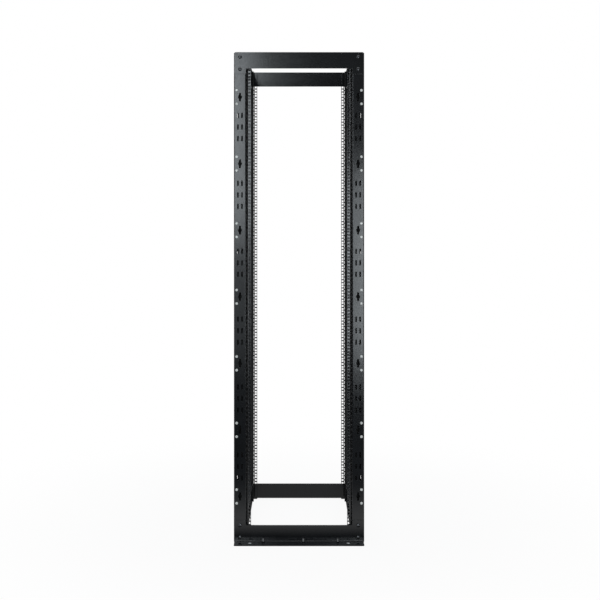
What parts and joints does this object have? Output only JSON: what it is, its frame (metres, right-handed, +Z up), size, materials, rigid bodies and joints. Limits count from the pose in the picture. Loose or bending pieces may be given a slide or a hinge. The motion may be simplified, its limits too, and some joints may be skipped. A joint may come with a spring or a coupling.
{
  "type": "four post open frame rack",
  "caption": "Tall black open frame rack with four folded posts, square hole mounting flanges, top beams, base angles with feet and side rails.",
  "frame": {"origin": "centre of the footprint on the floor", "axes": "+Z up, -Y out of the front of the rack, +X to the right seen from the front"},
  "size_m": [0.6096, 0.889, 2.2892],
  "materials": {
    "black_powder_coat": "fine textured satin powder coat",
    "zinc_plate": "bright zinc plate",
    "black_oxide_steel": "black oxide"
  },
  "bodies": {
    "root": {"front_left_post": "black_powder_coat", "front_right_post": "black_powder_coat", "rear_left_post": "black_powder_coat", "rear_right_post": "black_powder_coat", "front_left_studs": "zinc_plate", "front_right_studs": "zinc_plate", "rear_left_studs": "zinc_plate", "rear_right_studs": "zinc_plate", "front_top_beam": "black_powder_coat", "rear_top_beam": "black_powder_coat", "front_base_angle": "black_powder_coat", "rear_base_angle": "black_powder_coat", "left_top_side_rail": "black_powder_coat", "right_top_side_rail": "black_powder_coat", "left_bottom_side_rail": "black_powder_coat", "right_bottom_side_rail": "black_powder_coat", "left_top_rail_end_plates": "black_powder_coat", "right_top_rail_end_plates": "black_powder_coat", "left_bottom_rail_end_plates": "black_powder_coat", "right_bottom_rail_end_plates": "black_powder_coat", "left_top_rail_bolts": "black_oxide_steel", "right_top_rail_bolts": "black_oxide_steel", "left_bottom_rail_bolts": "black_oxide_steel", "right_bottom_rail_bolts": "black_oxide_steel", "front_top_bolts": "black_oxide_steel", "front_base_bolts": "black_oxide_steel", "rear_top_bolts": "black_oxide_steel", "rear_base_bolts": "black_oxide_steel"}
  },
  "joints": []
}
